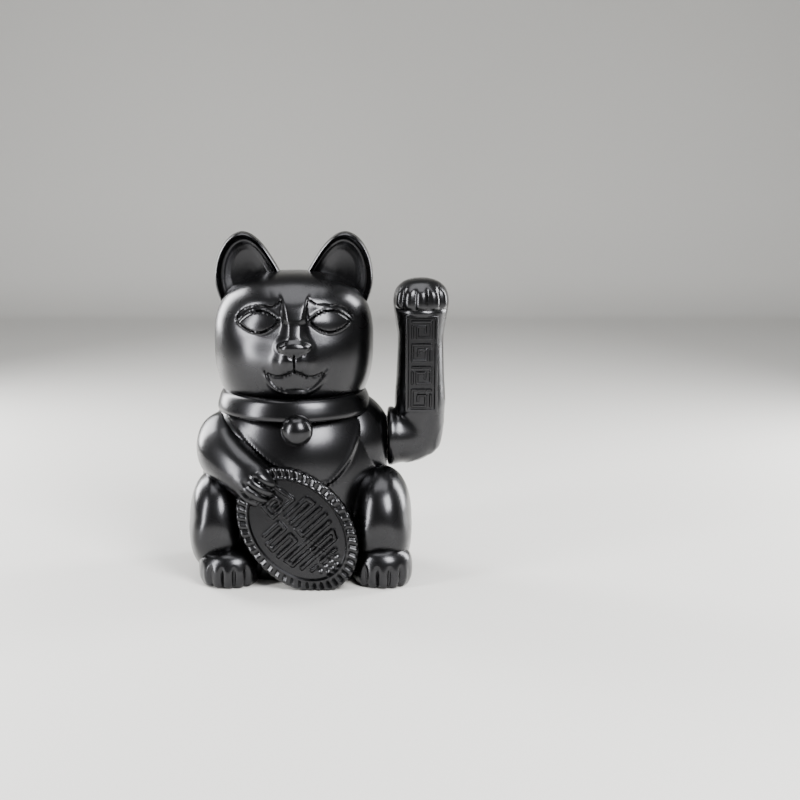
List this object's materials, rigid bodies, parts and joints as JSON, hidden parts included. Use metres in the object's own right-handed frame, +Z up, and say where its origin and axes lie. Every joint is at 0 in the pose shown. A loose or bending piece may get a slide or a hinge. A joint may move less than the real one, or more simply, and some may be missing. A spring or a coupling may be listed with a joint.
{
  "type": "beckoning cat figurine",
  "caption": "Seated beckoning cat of two lacquered shells, coin under one paw; the raised arm swings on a shaft driven by a coil and pendulum in its battery base.",
  "frame": {"origin": "on the table under the middle of the outline", "axes": "+Z up, -Y is where the cat looks, +X is the side of its raised arm"},
  "size_m": [0.2263, 0.1605, 0.298],
  "materials": {
    "black_lacquer": "satin metallic black lacquer on moulded ABS",
    "black_abs": "matt moulded black ABS",
    "slider_plastic": "matt grey polyamide",
    "steel": "zinc-plated steel",
    "rubber": "matt black rubber",
    "contact_steel": "nickel-plated spring steel",
    "cell_jacket": "plain printed shrink sleeve",
    "bushing_bronze": "sintered bronze",
    "coil_copper": "enamelled copper wire",
    "board_laminate": "green solder mask",
    "chip_epoxy": "black epoxy",
    "lead_red_pvc": "red PVC",
    "lead_black_pvc": "black PVC",
    "magnet_nickel": "nickel-plated magnet",
    "weight_iron": "raw cast iron"
  },
  "bodies": {
    "body": {"base_plate": "black_abs", "base_screws": "steel", "battery_cell_one": "cell_jacket", "battery_cell_two": "cell_jacket", "board_screws": "steel", "bushing_inner": "bushing_bronze", "bushing_outer": "bushing_bronze", "capacitor": "chip_epoxy", "circuit_board": "board_laminate", "coil_bobbin": "black_abs", "contact_bridge": "contact_steel", "contact_minus": "contact_steel", "contact_plus": "contact_steel", "drive_coil": "coil_copper", "drive_frame": "black_abs", "driver_chip": "chip_epoxy", "frame_screws": "steel", "front_shell": "black_lacquer", "lead_battery": "lead_black_pvc", "lead_black": "lead_black_pvc", "lead_red": "lead_red_pvc", "rear_shell": "black_lacquer", "rubber_foot_left_front": "rubber", "rubber_foot_left_rear": "rubber", "rubber_foot_right_front": "rubber", "rubber_foot_right_rear": "rubber", "stop_sleeve_front": "rubber", "stop_sleeve_rear": "rubber", "switch_case": "black_abs"},
    "arm": {"arm_front_shell": "black_lacquer", "arm_rear_shell": "black_lacquer", "arm_hub": "black_abs", "arm_axle": "steel", "axle_clip": "steel", "washer_inner": "steel", "washer_outer": "steel", "axle_collar": "steel", "pendulum_lever": "black_abs", "pendulum_magnet": "magnet_nickel", "counterweight": "weight_iron", "lever_screw": "steel"},
    "switch": {"switch_slider": "slider_plastic"},
    "door": {"battery_door": "black_abs"}
  },
  "joints": [
    {"name": "arm_swing", "type": "hinge", "parent": "body", "child": "arm", "pos_m": [0.04, 0.0033, 0.1175], "axis": [1, 0, 0], "range_deg": [-25, 25]},
    {"name": "power_switch", "type": "slide", "parent": "body", "child": "switch", "axis": [1, 0, 0], "range_m": [0, 0.004]},
    {"name": "battery_door_hinge", "type": "hinge", "parent": "body", "child": "door", "pos_m": [-0.0332, 0.0033, 0.0027], "axis": [0, 1, 0], "range_deg": [-95, 0]}
  ]
}
